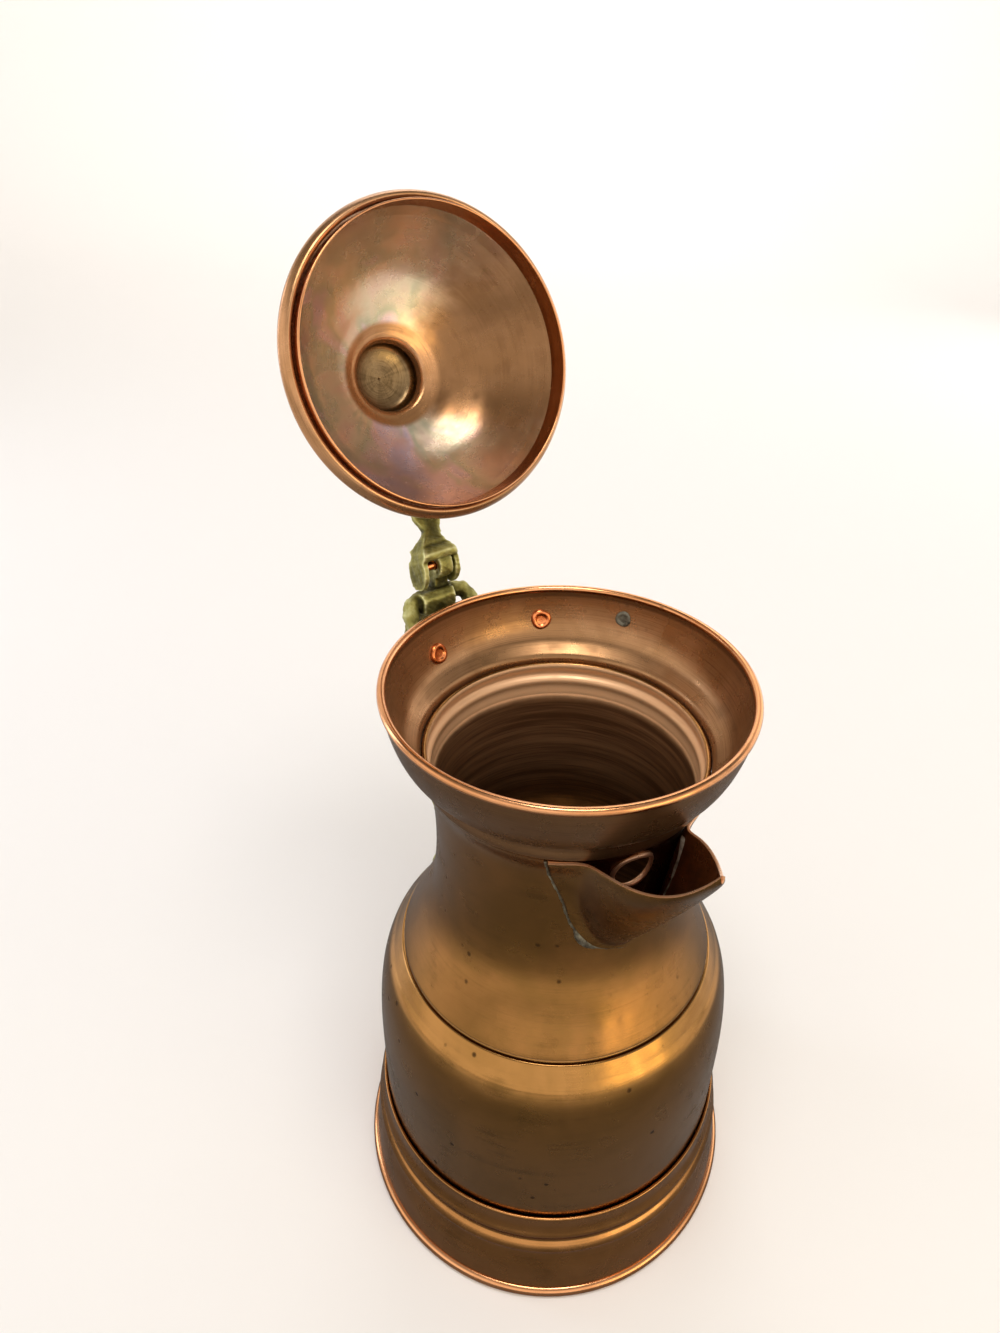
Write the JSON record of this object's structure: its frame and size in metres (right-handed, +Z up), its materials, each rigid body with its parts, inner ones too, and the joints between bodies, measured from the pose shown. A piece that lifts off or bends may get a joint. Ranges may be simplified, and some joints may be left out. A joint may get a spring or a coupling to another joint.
{
  "type": "copper jug with hinged lid",
  "caption": "Tall beaten copper jug with a flared bowl collar, a beak spout at the neck, a cast brass handle and a domed lid on a hinge.",
  "frame": {"origin": "centre of the underside of the base plate, on the floor the jug stands on", "axes": "+Z up along the axis of the jug, -X toward the handle and the hinge, +Y to the left of the spout seen from the handle"},
  "size_m": [0.2546, 0.1692, 0.4274],
  "materials": {
    "copper": "beaten copper sheet, worn and tarnished",
    "worn_copper": "copper rubbed bright by use",
    "cast_brass": "cast brass with an olive patina",
    "solder": "dull grey soft solder"
  },
  "bodies": {
    "jug": {"base_plate": "copper", "foot_wire": "worn_copper", "foot_ring": "copper", "lower_body": "copper", "neck_shell": "copper", "collar": "copper", "rim_wire": "worn_copper", "spout": "copper", "spout_solder": "solder", "hole_plug": "solder", "handle": "cast_brass", "hinge_pin": "worn_copper", "collar_rivet_left": "worn_copper", "collar_rivet_right": "worn_copper", "leaf_rivet_left": "worn_copper", "leaf_rivet_right": "worn_copper", "leaf_rivet_bottom": "worn_copper"},
    "lid": {"lid_dome": "copper", "lid_skirt": "worn_copper", "lid_knob": "copper", "lid_finial": "cast_brass", "lid_arm": "cast_brass"}
  },
  "joints": [
    {"name": "lid_hinge", "type": "hinge", "parent": "jug", "child": "lid", "pos_m": [-0.0887, 0, 0.2705], "axis": [0, 1, 0], "range_deg": [0, 110.6]}
  ]
}
